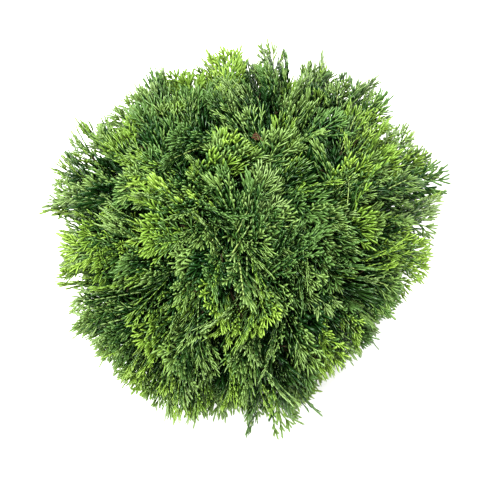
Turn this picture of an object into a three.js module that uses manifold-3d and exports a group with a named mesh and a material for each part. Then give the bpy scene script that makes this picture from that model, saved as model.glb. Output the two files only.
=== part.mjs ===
// A dwarf eastern arborvitae: a conifer that grows as a dense globe, some 38 cm across.
// A short stem forks low inside the plant. Each bough rises from the stem and ends where it enters
// a mass of foliage, and each mass is a core of packed twigs with flat, toothed sprays standing out of it.
// Millimetres, +Z up. The origin is the centre of the stem's flat cut at ground level, -Y is the front.

import * as THREE from "three";
import { mergeVertices } from "three/addons/utils/BufferGeometryUtils.js";
import Module from "manifold-3d";

// The globe of foliage, as far as the tips of its sprays.
const CROWN = {
  centreZ: 160, // height of the globe's middle
  halfWidth: 185, // from the middle to the spray tips, level
  up: 168, // from the middle to the topmost tips
  down: 165, // from the middle to where the lowest tips would meet under the plant
};

// Shoots that grew out further than the rest, or stayed shorter, seen from above:
// the azimuth from +X, how much further they reach, and the half angle they fill.
const LOBES = [
  { azimuth: 18, out: 32, spread: 16 },
  { azimuth: 62, out: 26, spread: 24 },
  { azimuth: 163, out: 29, spread: 14 },
  { azimuth: 219, out: 14, spread: 8 },
  { azimuth: 254, out: 11, spread: 12 },
  { azimuth: 283, out: 15, spread: 7 },
  { azimuth: 323, out: -25, spread: 16 },
  { azimuth: 343, out: 8, spread: 7 },
  { azimuth: 358, out: -22, spread: 8 },
];

// The masses of foliage sit in rings round the globe's middle. Every other one of a ring sits higher.
const RINGS = [
  { name: "top", elevation: 90, count: 1, start: 0, zigzag: 0 },
  { name: "upper", elevation: 50, count: 6, start: 20, zigzag: 3 },
  { name: "middle", elevation: 11, count: 9, start: 4, zigzag: 5 },
  { name: "lower", elevation: -33, count: 8, start: 14, zigzag: 5 },
];
const RING_JITTER = 4; // degrees that a mass may stray along its ring

// Where a mass begins and ends, as a share of the way from the middle to the spray tips.
const MASS = { stemFoot: 0.46, coreInner: 0.52, heart: 0.63, coreOuter: 0.78 };
const CLEAR = 0.3; // gap between neighbours that touch
const CORE_DETAIL = 1; // an icosahedron split once
const CORE_INSET = 2; // the core stays this far inside the mass's own space
const CORE_STEP = 2;
const STEM = { foot: 2.1, tip: 1.5, sides: 4 }; // radii of the stem inside a mass

// Each mass has twigs that fan out from its heart. A twig ends in one spray, with one more on either side.
const TWIGS = 6;
const TWIG = { foot: 2.0, tip: 1.3, end: 0.81, fork: 0.77 };
const TWIG_SPREAD = 0.86; // how near to the border of the mass's space a twig is sent
const GOLDEN_ANGLE = Math.PI * (3 - Math.sqrt(5));
const DIP = 0.05; // the least vigorous twig stays this share short of the outline

// A spray is a flat, toothed fan with a ridge on one face. Its rows run from the root over the teeth and
// the notches to the tip, and give half its width and the height of its ridge as shares of its length.
const SPRAY_ROWS = [
  { at: 0, wide: 0, thick: 0 },
  { at: 0.58, wide: 0.4, thick: 0.035 },
  { at: 0.7, wide: 0.2, thick: 0.03 },
  { at: 1, wide: 0, thick: 0 },
];
const SIDE_SPRAY = { share: 0.95, lean: 38 }; // its reach against the twig's, degrees from the twig
const ROLL = 28; // degrees that a spray may turn out of the upright plane
const MOST_SHARED = 6; // mm3 of a spray's root that may lie inside its twig, so that sprays don't cross
const SHRINK = 0.85; // a spray that would leave its mass's space is made shorter by this
const SMALLEST = 22; // a spray that would have to be shorter than this is left out

const TRUNK = { height: 128, foot: 10.5, tip: 4.2, flare: 7, flareHeight: 13, lean: [5, -4], sides: 12, steps: 9 };
const BOUGH = { foot: 2.9, tip: 2.1, sides: 5, steps: 4, bend: 0.33, leaves: 40 };
// The height on the stem where the lowest bough of each ring leaves it. Its neighbours leave it a step up.
const BOUGH_FOOT = { top: 126, upper: 92, middle: 62, lower: 30 };
const BOUGH_STEP = { height: 7, count: 3 };

const COLOURS = {
  bark: { color: 0x6b4a35, roughness: 0.9 },
  young: { color: 0x86b53c, roughness: 0.55 },
  grown: { color: 0x5b8f2f, roughness: 0.6 },
  shaded: { color: 0x3f6d2a, roughness: 0.65 },
};

const wasm = await Module();
wasm.setup();

const rad = THREE.MathUtils.degToRad;
const Z = new THREE.Vector3(0, 0, 1);
const MIDDLE = new THREE.Vector3(0, 0, CROWN.centreZ);

// Random numbers from 0 to 1 that are the same on every run.
function seeded(seed) {
  let state = seed >>> 0;
  return () => {
    state = (state + 0x6d2b79f5) >>> 0;
    let t = Math.imul(state ^ (state >>> 15), state | 1);
    t ^= t + Math.imul(t ^ (t >>> 7), t | 61);
    return ((t ^ (t >>> 14)) >>> 0) / 4294967296;
  };
}

function direction(azimuth, elevation) {
  const [a, e] = [rad(azimuth), rad(elevation)];
  return new THREE.Vector3(Math.cos(a) * Math.cos(e), Math.sin(a) * Math.cos(e), Math.sin(e));
}

// How far the spray tips reach from the middle of the globe, in a direction.
function reach(way) {
  const azimuth = THREE.MathUtils.radToDeg(Math.atan2(way.y, way.x));
  let level = CROWN.halfWidth;
  for (const lobe of LOBES) {
    const off = THREE.MathUtils.euclideanModulo(azimuth - lobe.azimuth + 180, 360) - 180;
    level += lobe.out * Math.exp(-((off / lobe.spread) ** 2));
  }
  const height = way.z > 0 ? CROWN.up : CROWN.down;
  return 1 / Math.hypot(Math.hypot(way.x, way.y) / level, way.z / height);
}

// Two directions square to a third: the first lies level, the second points up.
function across(way) {
  const side = Math.abs(way.z) > 0.99 ? new THREE.Vector3(1, 0, 0) : new THREE.Vector3().crossVectors(Z, way);
  side.normalize();
  return [side, new THREE.Vector3().crossVectors(way, side).normalize()];
}

// The masses, each with its name, its ring and the direction of its middle.
function placeMasses() {
  const random = seeded(7);
  const masses = [];
  for (const ring of RINGS) {
    for (let i = 0; i < ring.count; i += 1) {
      const azimuth = ring.start + (360 / ring.count) * i + (2 * random() - 1) * RING_JITTER;
      const number = ring.count > 1 ? `_${i + 1}` : "";
      masses.push({
        name: ring.name + number,
        ring: ring.name,
        step: i % BOUGH_STEP.count,
        azimuth,
        way: direction(azimuth, ring.elevation + (i % 2 ? ring.zigzag : -ring.zigzag)),
        seed: 100 + masses.length,
      });
    }
  }
  return masses;
}

const masses = placeMasses();
// Nothing grows straight down, so the space under the plant counts as a neighbour too.
const sites = [...masses.map((mass) => mass.way), new THREE.Vector3(0, 0, -1)];

// The flat borders of a mass's own space, half way to each neighbour.
function bordersOf(mass) {
  return sites
    .filter((site) => site !== mass.way)
    .map((site) => new THREE.Vector3().subVectors(mass.way, site).normalize());
}

// How far a point lies inside its mass's space. It is negative outside.
function depthInside(point, borders) {
  const from = new THREE.Vector3().subVectors(point, MIDDLE);
  return Math.min(...borders.map((border) => border.dot(from)), point.z);
}

// The angle from the mass's middle to its border, going off towards a direction square to it.
function angleToBorder(mass, sideways) {
  let nearest = Math.PI / 2;
  for (const site of sites) {
    const towards = sideways.dot(site);
    if (site !== mass.way && towards > 0) {
      nearest = Math.min(nearest, Math.atan2(1 - mass.way.dot(site), towards));
    }
  }
  return nearest;
}

// A closed geometry as a solid. Only its positions are kept, so that shared corners merge.
function solidOf(geometry) {
  const bare = geometry.clone();
  bare.deleteAttribute("normal");
  bare.deleteAttribute("uv");
  const merged = mergeVertices(bare, 1e-4);
  return new wasm.Manifold(
    new wasm.Mesh({
      numProp: 3,
      vertProperties: new Float32Array(merged.attributes.position.array),
      triVerts: new Uint32Array(merged.index.array),
    }),
  );
}

function geometryOf(solid) {
  const { numProp, vertProperties, triVerts } = solid.getMesh();
  const corners = new Float32Array((vertProperties.length / numProp) * 3);
  for (let i = 0; i < corners.length / 3; i += 1) {
    corners.set(vertProperties.subarray(i * numProp, i * numProp + 3), i * 3);
  }
  const geometry = new THREE.BufferGeometry();
  geometry.setAttribute("position", new THREE.BufferAttribute(corners, 3));
  geometry.setIndex(new THREE.BufferAttribute(triVerts, 1));
  return geometry.toNonIndexed();
}

// The largest body of a solid. It has no loose scraps, and a hollow sealed inside it is filled.
function wholePiece(solid) {
  return solid.decompose().reduce((a, b) => (b.volume() > a.volume() ? b : a));
}

// A limb or a blade: the rows of a cylinder, or of a sphere where it is pointed at both ends, are set
// along a curve, each with its own half width and height. The frame gives those two directions.
function loft(curve, rows, sides, frameAt) {
  const steps = rows.length - 1;
  const [foot, tip] = [Math.sign(rows[0].wide), Math.sign(rows[steps].wide)];
  const spindle = foot + tip === 0;
  const geometry = spindle
    ? new THREE.SphereGeometry(1, sides, steps).rotateY(Math.PI / 2)
    : new THREE.CylinderGeometry(tip, foot, 1, sides, steps);
  const position = geometry.attributes.position;
  for (let i = 0; i < position.count; i += 1) {
    const [x, y, z] = [position.getX(i), position.getY(i), position.getZ(i)];
    const row = rows[Math.round((spindle ? Math.acos(-y) / Math.PI : y + 0.5) * steps)];
    const out = Math.hypot(x, z) || 1;
    const [wide, thick] = frameAt(row.at);
    const place = curve
      .getPoint(row.at)
      .addScaledVector(wide, (x / out) * row.wide)
      .addScaledVector(thick, (z / out) * row.thick);
    position.setXYZ(i, place.x, place.y, place.z);
  }
  return solidOf(geometry);
}

// Evenly spaced rows of a round limb whose radius is given along it.
function roundRows(steps, radiusAt) {
  return Array.from({ length: steps + 1 }, (_, i) => {
    const radius = radiusAt(i / steps);
    return { at: i / steps, wide: radius, thick: radius };
  });
}

function taper(foot, tip) {
  return (t) => THREE.MathUtils.lerp(foot, tip, t);
}

function limb(curve, rows, sides) {
  return loft(curve, rows, sides, (t) => {
    const [side, up] = across(curve.getTangent(t));
    return [up, side];
  });
}

// The stem stands upright at the ground, and leans as it rises.
const trunkCurve = new THREE.CubicBezierCurve3(
  new THREE.Vector3(0, 0, 0),
  new THREE.Vector3(0, 0, TRUNK.height * 0.33),
  new THREE.Vector3(TRUNK.lean[0], TRUNK.lean[1] * 0.4, TRUNK.height * 0.66),
  new THREE.Vector3(...TRUNK.lean, TRUNK.height),
);

// The stem's rows are level, so that its cut at the ground is. It can be made a little larger all over.
function trunkSolid(grown = 0) {
  const radiusAt = (t) => {
    const flare = TRUNK.flare * Math.exp((-t * TRUNK.height) / TRUNK.flareHeight);
    return THREE.MathUtils.lerp(TRUNK.foot, TRUNK.tip, t) + flare + grown;
  };
  const curve = trunkCurve.clone();
  curve.v3.z += grown;
  const level = [new THREE.Vector3(1, 0, 0), new THREE.Vector3(0, -1, 0)];
  return loft(curve, roundRows(TRUNK.steps, radiusAt), TRUNK.sides, () => level);
}

function stemFoot(mass) {
  return MIDDLE.clone().addScaledVector(mass.way, MASS.stemFoot * reach(mass.way));
}

// A bough leaves the stem at a slant, rises, and comes round in line with its mass's own stem.
function boughCurve(mass) {
  const start = trunkCurve.getPoint((BOUGH_FOOT[mass.ring] + mass.step * BOUGH_STEP.height) / TRUNK.height);
  const end = stemFoot(mass);
  const bend = BOUGH.bend * start.distanceTo(end);
  const leaving = mass.ring === "top" ? mass.way : direction(mass.azimuth, BOUGH.leaves);
  return new THREE.CubicBezierCurve3(
    start,
    start.clone().addScaledVector(leaving, bend),
    end.clone().addScaledVector(mass.way, -bend),
    end,
  );
}

function boughSolid(mass, trunkGrown) {
  const rows = roundRows(BOUGH.steps, taper(BOUGH.foot, BOUGH.tip));
  return wholePiece(limb(boughCurve(mass), rows, BOUGH.sides).subtract(trunkGrown));
}

function insideCore(place, borders) {
  const from = new THREE.Vector3().subVectors(place, MIDDLE);
  const share = from.length() / reach(from.clone().normalize());
  return share > MASS.coreInner && share < MASS.coreOuter && depthInside(place, borders) > CORE_INSET;
}

// The core fills the mass's space between two shells. Each corner goes out from the heart step by step.
function coreSolid(mass, heart, borders) {
  const geometry = new THREE.IcosahedronGeometry(1, CORE_DETAIL);
  const position = geometry.attributes.position;
  for (let i = 0; i < position.count; i += 1) {
    const step = new THREE.Vector3().fromBufferAttribute(position, i).setLength(CORE_STEP);
    const place = heart.clone();
    do {
      place.add(step);
    } while (insideCore(place, borders));
    place.sub(step);
    position.setXYZ(i, place.x, place.y, place.z);
  }
  return solidOf(geometry);
}

// The way out from the middle, to a place in the mass's space given by its turn about the mass's
// own direction and its share of the angle to the border.
function wayInMass(mass, turn, share) {
  const [side, up] = across(mass.way);
  const sideways = side.multiplyScalar(Math.cos(turn)).addScaledVector(up, Math.sin(turn));
  const angle = share * angleToBorder(mass, sideways);
  return mass.way.clone().multiplyScalar(Math.cos(angle)).addScaledVector(sideways, Math.sin(angle));
}

// The twigs of a mass: they are sent from its heart to places spread over its outer face.
function twigsOf(mass) {
  const random = seeded(mass.seed);
  const first = random() * 2 * Math.PI;
  return Array.from({ length: TWIGS }, (_, i) => {
    const way = wayInMass(mass, first + i * GOLDEN_ANGLE, TWIG_SPREAD * Math.sqrt((i + 0.4) / TWIGS));
    const far = reach(way) * (1 - DIP * random());
    const face = across(way)[0].applyAxisAngle(way, rad((2 * random() - 1) * ROLL));
    return { way, far, face };
  });
}

// The rows of a spray of a given length that takes up the last part of a line.
function sprayRows(length, lineLength) {
  return SPRAY_ROWS.map(({ at, wide, thick }) => ({
    at: 1 - ((1 - at) * length) / lineLength,
    wide: wide * length,
    thick: thick * length,
  }));
}

// A blade's widest direction lies square to its own way and to the way that its flat face looks.
function blade(line, rows, face) {
  const wide = new THREE.Vector3().crossVectors(line.getTangent(0), face);
  return loft(line, rows, 3, () => [wide, face]);
}

// A twig that ends in a spray, in one piece.
function twigSolid(twig, heart) {
  const tip = MIDDLE.clone().addScaledVector(twig.way, twig.far);
  const end = MIDDLE.clone().addScaledVector(twig.way, twig.far * TWIG.end);
  const line = new THREE.LineCurve3(heart, tip);
  const way = line.getTangent(0);
  const face = twig.face.clone().addScaledVector(way, -way.dot(twig.face)).normalize();
  const spray = sprayRows(end.distanceTo(tip), heart.distanceTo(tip));
  spray[0] = { at: spray[0].at, wide: TWIG.tip, thick: TWIG.tip };
  return blade(line, [{ at: 0, wide: TWIG.foot, thick: TWIG.foot }, ...spray], face);
}

function staysInside(solid, borders) {
  const { numProp, vertProperties } = solid.getMesh();
  const corner = new THREE.Vector3();
  for (let i = 0; i < vertProperties.length; i += numProp) {
    corner.fromArray(vertProperties, i);
    if (depthInside(corner, borders) < CLEAR) return false;
  }
  return true;
}

// The largest spray that a mass's space and its other sprays leave room for at the end of a way, or none.
function fittingSpray(root, way, face, length, borders, others) {
  if (length < SMALLEST) return [];
  const line = new THREE.LineCurve3(root, root.clone().addScaledVector(way, length));
  const solid = blade(line, sprayRows(length, length), face);
  const fits = staysInside(solid, borders) && solid.intersect(others).volume() < MOST_SHARED;
  return fits ? [solid] : fittingSpray(root, way, face, length * SHRINK, borders, others);
}

// One spray leans out on either side of a twig, like opened pages.
function sideSprays(twig, borders, others) {
  const hinge = new THREE.Vector3().crossVectors(twig.way, twig.face);
  const root = MIDDLE.clone().addScaledVector(twig.way, twig.far * TWIG.fork);
  const length = (twig.far * (1 - TWIG.fork) * SIDE_SPRAY.share) / Math.cos(rad(SIDE_SPRAY.lean));
  return [-1, 1].flatMap((side) => {
    const lean = side * rad(SIDE_SPRAY.lean);
    const way = twig.way.clone().applyAxisAngle(hinge, lean);
    const face = twig.face.clone().applyAxisAngle(hinge, lean);
    return fittingSpray(root, way, face, length, borders, others);
  });
}

function massSolid(mass) {
  const borders = bordersOf(mass);
  const heart = MIDDLE.clone().addScaledVector(mass.way, MASS.heart * reach(mass.way));
  const foot = stemFoot(mass).addScaledVector(mass.way, CLEAR);
  const stem = limb(new THREE.LineCurve3(foot, heart), roundRows(1, taper(STEM.foot, STEM.tip)), STEM.sides);
  const twigs = twigsOf(mass);
  let whole = coreSolid(mass, heart, borders).add(stem);
  for (const twig of twigs) {
    const solid = twigSolid(twig, heart);
    if (staysInside(solid, borders)) whole = whole.add(solid);
  }
  for (const twig of twigs) {
    for (const spray of sideSprays(twig, borders, whole)) whole = whole.add(spray);
  }
  return wholePiece(whole);
}

function node(name, solid, colour) {
  const mesh = new THREE.Mesh(geometryOf(solid), new THREE.MeshStandardMaterial(COLOURS[colour]));
  mesh.name = name;
  return mesh;
}

const FOLIAGE_COLOUR = { top: "young", upper: "young", middle: "grown", lower: "shaded" };

const plant = new THREE.Group();
plant.add(node("trunk", trunkSolid(), "bark"));
const trunkGrown = trunkSolid(CLEAR);
for (const mass of masses) {
  plant.add(node(`bough_${mass.name}`, boughSolid(mass, trunkGrown), "bark"));
  plant.add(node(`foliage_${mass.name}`, massSolid(mass), FOLIAGE_COLOUR[mass.ring]));
}

export default plant;
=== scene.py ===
# %% [markdown]
# # A dwarf eastern arborvitae
# This small conifer grows as a dense green globe. Its leaves are tiny scales pressed flat to the
# twigs, so what the eye reads as leaves are flat, branching sprays. They stand on edge like the
# pages of a book and crowd the outside of the globe, and the inside is dark. The solid model gives
# the stem, the boughs and the space that each mass of foliage fills. This lesson grows the fine
# sprays into those spaces.

# %% Load the solid model
import math

import bmesh
import bpy
import numpy as np
from mathutils import Matrix, Vector, noise


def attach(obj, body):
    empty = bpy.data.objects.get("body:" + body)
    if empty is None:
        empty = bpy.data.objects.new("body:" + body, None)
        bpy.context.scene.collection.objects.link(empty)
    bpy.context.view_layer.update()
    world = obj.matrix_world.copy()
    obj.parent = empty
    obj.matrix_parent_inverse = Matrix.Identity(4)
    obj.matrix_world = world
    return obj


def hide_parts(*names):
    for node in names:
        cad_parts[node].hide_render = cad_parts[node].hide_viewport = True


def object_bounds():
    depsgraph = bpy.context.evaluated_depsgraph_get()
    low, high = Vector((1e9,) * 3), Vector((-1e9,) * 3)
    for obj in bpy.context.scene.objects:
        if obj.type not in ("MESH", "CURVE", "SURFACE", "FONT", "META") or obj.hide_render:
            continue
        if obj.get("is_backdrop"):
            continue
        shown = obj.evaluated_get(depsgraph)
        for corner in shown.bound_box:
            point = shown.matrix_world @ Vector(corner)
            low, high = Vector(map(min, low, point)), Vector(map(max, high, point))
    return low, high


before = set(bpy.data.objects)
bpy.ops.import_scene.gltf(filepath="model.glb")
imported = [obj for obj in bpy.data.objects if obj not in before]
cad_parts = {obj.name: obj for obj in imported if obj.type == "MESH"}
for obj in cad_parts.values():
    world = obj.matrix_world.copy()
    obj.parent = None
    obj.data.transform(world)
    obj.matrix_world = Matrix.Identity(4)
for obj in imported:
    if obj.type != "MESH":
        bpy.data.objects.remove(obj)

cad_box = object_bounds()
print("solid model", [round(side, 3) for side in cad_box[1] - cad_box[0]], "m")

# %% [markdown]
# ## The camera
# The plant is seen steeply from above, so that the globe hides its own foot. A long lens from under
# a metre away keeps the perspective mild. The lens is worked out from the width that has to fit
# into the picture at the globe's middle, because a width is easier to adjust than a focal length.

# %% Camera
CROWN_MIDDLE = Vector((0, 0, 0.160))
CAMERA_AWAY = 0.90
CAMERA_ELEVATION = math.radians(68)
PICTURE_WIDTH = 0.4555  # metres that the picture takes in at the globe's middle
SENSOR = 36  # millimetres
AIM = CROWN_MIDDLE + Vector((-0.0025, -0.0031, -0.0012))  # the globe sits a little off the middle


def add_object(name, data):
    """A new object in the scene, for a camera, a light or a mesh."""
    made = bpy.data.objects.new(name, data)
    bpy.context.scene.collection.objects.link(made)
    return made


back = Vector((0, -math.cos(CAMERA_ELEVATION), math.sin(CAMERA_ELEVATION)))
camera_data = bpy.data.cameras.new("camera")
camera_data.sensor_width = SENSOR
camera_data.lens = SENSOR * CAMERA_AWAY / PICTURE_WIDTH
camera = add_object("camera", camera_data)
camera.location = AIM + back * CAMERA_AWAY
camera.rotation_euler = (-back).to_track_quat("-Z", "Y").to_euler()
bpy.context.scene.camera = camera
print("lens", round(camera_data.lens, 1), "mm")

# %% [markdown]
# ## The rule of growth
# The solid model was grown by a rule with seeded random numbers. The rule is written again here, in
# metres, so that the fine twigs start where the solid ones do and end within the same outline. Each
# language has its own random numbers, so this small generator is written out, and it gives the same
# numbers in both.

# %% Seeded random numbers
WORD = 0xFFFFFFFF  # the generator works with 32 bits


def seeded(seed):
    """Random numbers from 0 to 1 that are the same on every run."""
    state = seed
    while True:
        state = (state + 0x6D2B79F5) & WORD
        t = ((state ^ (state >> 15)) * (state | 1)) & WORD
        t ^= (t + (((t ^ (t >> 7)) * (t | 61)) & WORD)) & WORD
        yield (t ^ (t >> 14)) / 2**32


print("first number of seed 7:", round(next(seeded(7)), 4))

# %% [markdown]
# ## Directions
# The whole globe is described from its middle: a place is a direction and a share of the way out. A
# few helpers make directions and turn them. They take many directions at once, as rows of an array,
# which is far quicker than one at a time.

# %% Directions
Z_AXIS = np.array((0.0, 0.0, 1.0))
NEARLY_UPRIGHT = 0.99


def unit(v):
    return v / np.linalg.norm(v, axis=-1, keepdims=True)


def direction(azimuth, elevation):
    a, e = math.radians(azimuth), math.radians(elevation)
    return np.array((math.cos(a) * math.cos(e), math.sin(a) * math.cos(e), math.sin(e)))


def level_side(ways):
    """The level direction square to each way."""
    side = np.cross(Z_AXIS, ways)
    side[np.abs(ways[..., 2]) > NEARLY_UPRIGHT] = (1.0, 0.0, 0.0)
    return unit(side)


def turned(v, axis, angle):
    """Vectors turned about unit axes, by the right-hand rule."""
    c, s = np.cos(angle)[..., None], np.sin(angle)[..., None]
    along = np.sum(axis * v, axis=-1, keepdims=True)
    return v * c + np.cross(axis, v) * s + axis * along * (1 - c)


def across(v, axis):
    """The part of each vector that is square to its axis."""
    return v - axis * np.sum(v * axis, axis=-1, keepdims=True)


print("up and to the right:", direction(0, 45).round(2))

# %% [markdown]
# ## The outline of the globe
# The globe is a ball that is a little wider than high. Some shoots grew out further than the rest
# and some stayed short, which gives the outline its lobes. One function says how far the foliage
# reaches in any direction from the middle, and everything that grows asks it.

# %% Outline
MIDDLE = np.array(CROWN_MIDDLE)
HALF_WIDTH = 0.185
UP = 0.168
DOWN = 0.165
# Azimuth in degrees, how much further the shoots reach there, and the half angle in degrees.
LOBES = (
    (18, 0.032, 16),
    (62, 0.026, 24),
    (163, 0.029, 14),
    (219, 0.014, 8),
    (254, 0.011, 12),
    (283, 0.015, 7),
    (323, -0.025, 16),
    (343, 0.008, 7),
    (358, -0.022, 8),
)


def reach(ways):
    """How far the foliage reaches from the middle, in each of several directions."""
    azimuth = np.degrees(np.arctan2(ways[..., 1], ways[..., 0]))
    level = np.full(azimuth.shape, HALF_WIDTH)
    for lobe, out, spread in LOBES:
        level += out * np.exp(-((((azimuth - lobe + 180) % 360 - 180) / spread) ** 2))
    height = np.where(ways[..., 2] > 0, UP, DOWN)
    return 1 / np.hypot(np.hypot(ways[..., 0], ways[..., 1]) / level, ways[..., 2] / height)


print("reach to the right, to the back and up:", reach(np.eye(3)).round(3), "m")

# %% [markdown]
# ## The masses
# A conifer like this carries its foliage in clumps, one at the end of each bough. They sit in four
# rings here, turned and lifted a little so that no two clumps line up. Each mass owns the
# directions that are nearer to its own middle than to any neighbour's, so together they leave no
# gap.

# %% Places of the masses
RINGS = (
    # name, elevation in degrees, how many, first azimuth, degrees up or down for every other one
    ("top", 90, 1, 0, 0),
    ("upper", 50, 6, 20, 3),
    ("middle", 11, 9, 4, 5),
    ("lower", -33, 8, 14, 5),
)
RING_JITTER = 4  # degrees
RING_SEED, FIRST_MASS_SEED = 7, 100

random = seeded(RING_SEED)
masses = []
for ring, elevation, count, start, zigzag in RINGS:
    for i in range(count):
        azimuth = start + 360 / count * i + (2 * next(random) - 1) * RING_JITTER
        masses.append({
            "name": f"{ring}_{i + 1}" if count > 1 else ring,
            "ring": ring,
            "number": i,
            "way": direction(azimuth, elevation + (zigzag if i % 2 else -zigzag)),
            "seed": FIRST_MASS_SEED + len(masses),
        })
# Nothing grows straight down, so the space under the plant counts as a neighbour too.
sites = np.array([mass["way"] for mass in masses] + [(0, 0, -1)])
print(len(masses), "masses")

# %% [markdown]
# ## The twigs of a mass
# Six twigs leave the heart of a mass for places spread over its outer face. The golden angle spaces
# them evenly however many there are, as a sunflower spaces its seeds. A weak twig stays a little
# shorter than its neighbours.

# %% Twigs of the masses
HEART = 0.63  # where the twigs of a mass part, as a share of the way out to the spray tips
TWIGS = 6
TWIG_SPREAD = 0.86  # how near the outermost twigs come to the border of their mass
FIRST_TWIG = 0.4  # how far from the middle of its mass the first twig ends, in steps of the spiral
DIP = 0.05  # how much shorter a weak twig stays, as a share of the reach
GOLDEN_ANGLE = math.pi * (3 - math.sqrt(5))
SAME_PLACE = 1e-9  # a site nearer than this is the mass's own, and not a neighbour's


def ways_in_mass(mass, turns, shares):
    """Directions in a mass: a turn about its middle and a share of the angle to its border."""
    way = mass["way"]
    side = level_side(way[None])[0]
    up = unit(np.cross(way, side))
    sideways = side * np.cos(turns)[:, None] + up * np.sin(turns)[:, None]
    towards = sideways @ sites.T
    apart = 1 - sites @ way
    nearer = (towards > 0) & (apart > SAME_PLACE)
    border = np.where(nearer, np.arctan2(apart, towards), math.pi / 2).min(axis=1)
    angles = (shares * border)[:, None]
    return way * np.cos(angles) + sideways * np.sin(angles)


def grow_twigs(mass):
    draw = seeded(mass["seed"])
    first = next(draw) * 2 * math.pi
    steps = np.arange(TWIGS)
    shares = TWIG_SPREAD * np.sqrt((steps + FIRST_TWIG) / TWIGS)
    ways = ways_in_mass(mass, first + steps * GOLDEN_ANGLE, shares)
    # Two numbers are drawn for each twig: how short it stays, and how far its tuft is rolled.
    short, roll = np.array([(next(draw), next(draw)) for _ in steps]).T
    mass["first_turn"] = first
    mass["twig_ways"] = ways
    mass["twig_vigour"] = 1 - DIP * short
    mass["twig_far"] = reach(ways) * mass["twig_vigour"]
    mass["twig_roll"] = 2 * roll - 1
    mass["heart"] = MIDDLE + mass["way"] * HEART * reach(mass["way"])


for mass in masses:
    grow_twigs(mass)
print(TWIGS * len(masses), "twigs")

# %% [markdown]
# ## One branchlet
# The smallest part that shows is a branchlet about 2 mm wide, a shoot wrapped in scales, with a
# blunt tip and a low ridge. A cut-out card would be lighter, but it would look flat from the side,
# so each branchlet is a solid of ten triangles. A cone of three sides is shaped into the branchlet
# and into the bar of an axis. Both are then repeated many thousand times from arrays, because
# modelling every one with operators would take hours, and instances would be lost when the plant is
# exported.

# %% Branchlet
RIDGE, BACK = 0.6, 0.35  # how far the ridge and the back stand out, against half the width
BRANCHLET_ROWS = ((0, 0.8), (0.8, 1), (1, 0))  # share of the length, and of the half width there
AXIS_ROWS = ((0, 1), (1, 0.85))


def bar_shape(rows):
    """Corners and faces of a three-sided bar along +Y, one long. Its rows say how wide it is, and a
    last row of no width closes it in a point."""
    pointed = rows[-1][1] == 0
    bm = bmesh.new()
    bmesh.ops.create_cone(bm, cap_ends=True, segments=3, radius1=1, radius2=1, depth=1)
    bmesh.ops.translate(bm, verts=bm.verts, vec=(0, 0, 0.5))  # it stands on 0 now and reaches to 1
    if pointed:
        upright = [e for e in bm.edges if e.verts[0].co.z != e.verts[1].co.z]
        bmesh.ops.subdivide_edges(bm, edges=upright, cuts=1)
        top = [v for v in bm.verts if v.co.z == 1]
        bmesh.ops.pointmerge(bm, verts=top, merge_co=(0, 0, 1))
    bmesh.ops.triangulate(bm, faces=bm.faces)
    bmesh.ops.recalc_face_normals(bm, faces=bm.faces)
    corners = np.array([v.co for v in bm.verts])
    faces = np.array([[v.index for v in f.verts] for f in bm.faces])
    bm.free()
    row = np.rint(corners[:, 2] * (len(rows) - 1)).astype(int)
    y, half = np.array(rows)[row].T
    x = np.sign(np.round(corners[:, 0], 3)) * half  # the ridge is in the middle, at 0
    z = np.where(corners[:, 1] > 0, RIDGE, -BACK) * half
    return np.stack((x, y, z), axis=1), faces


BRANCHLET = bar_shape(BRANCHLET_ROWS)
AXIS = bar_shape(AXIS_ROWS)
print("triangles of a branchlet:", len(BRANCHLET[1]), "and of a bar:", len(AXIS[1]))

# %% [markdown]
# ## How an axis carries its branchlets
# A spray branches in one plane, like a fan. Its parts are written down before they are built, one
# row each, because a table of rows is turned into a mesh in one step. A row holds where a part
# starts, its heading in the plane, its tilt out of it, its length and its half width.

# %% Bars and branchlets
BRANCHLET_LENGTH = 0.0092
LENGTH_SPREAD = 0.22  # how much shorter or longer a branchlet may be, as a share of its length
HALF_WIDTH_OF_BRANCHLET = 0.00100
HALF_WIDTH_OF_AXIS = 0.00095
WAVER = 0.16  # radians by which a part may tilt out of the spray's plane
AXIS_KIND, BRANCHLET_KIND = 0, 1
BODY_PART, TIP_PART, MAIN_AXIS_PART = 0, 1, 2  # which of a spray's three greens a part wears
# A row is x, y and z, then heading, tilt, length and half width, and last the kind and the part.
PLACE_COLUMNS, KIND_COLUMN, PART_COLUMN = 3, 7, 8


def around(draw, middle, spread):
    """A random number that is at most spread away from middle."""
    return middle + (2 * next(draw) - 1) * spread


def ahead(at, heading, tilt, step):
    """The place that is a step further along an axis."""
    return at[0] + step * math.sin(heading), at[1] + step * math.cos(heading), at[2] + step * tilt


def add_bar(spray, at, heading, tilt, length, half, part):
    spray["rows"].append((*at, heading, tilt, length, half, AXIS_KIND, part))


def add_branchlet(spray, at, heading, tilt, size, part):
    draw, grow = spray["draw"], spray["grow"]
    length = BRANCHLET_LENGTH * grow * size * around(draw, 1, LENGTH_SPREAD)
    tilt += around(draw, 0, WAVER)
    half = HALF_WIDTH_OF_BRANCHLET * grow
    spray["rows"].append((*at, heading, tilt, length, half, BRANCHLET_KIND, part))


print("a branchlet is about", round(BRANCHLET_LENGTH * 1000, 1), "mm long")

# %% [markdown]
# ## A side axis
# Short branchlets leave a side axis by turns to the left and to the right and lean forward, and the
# axis itself bends forward as it grows. Its last node carries one on both sides and one straight
# on, which gives each side axis its small fan of fingers.

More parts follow.
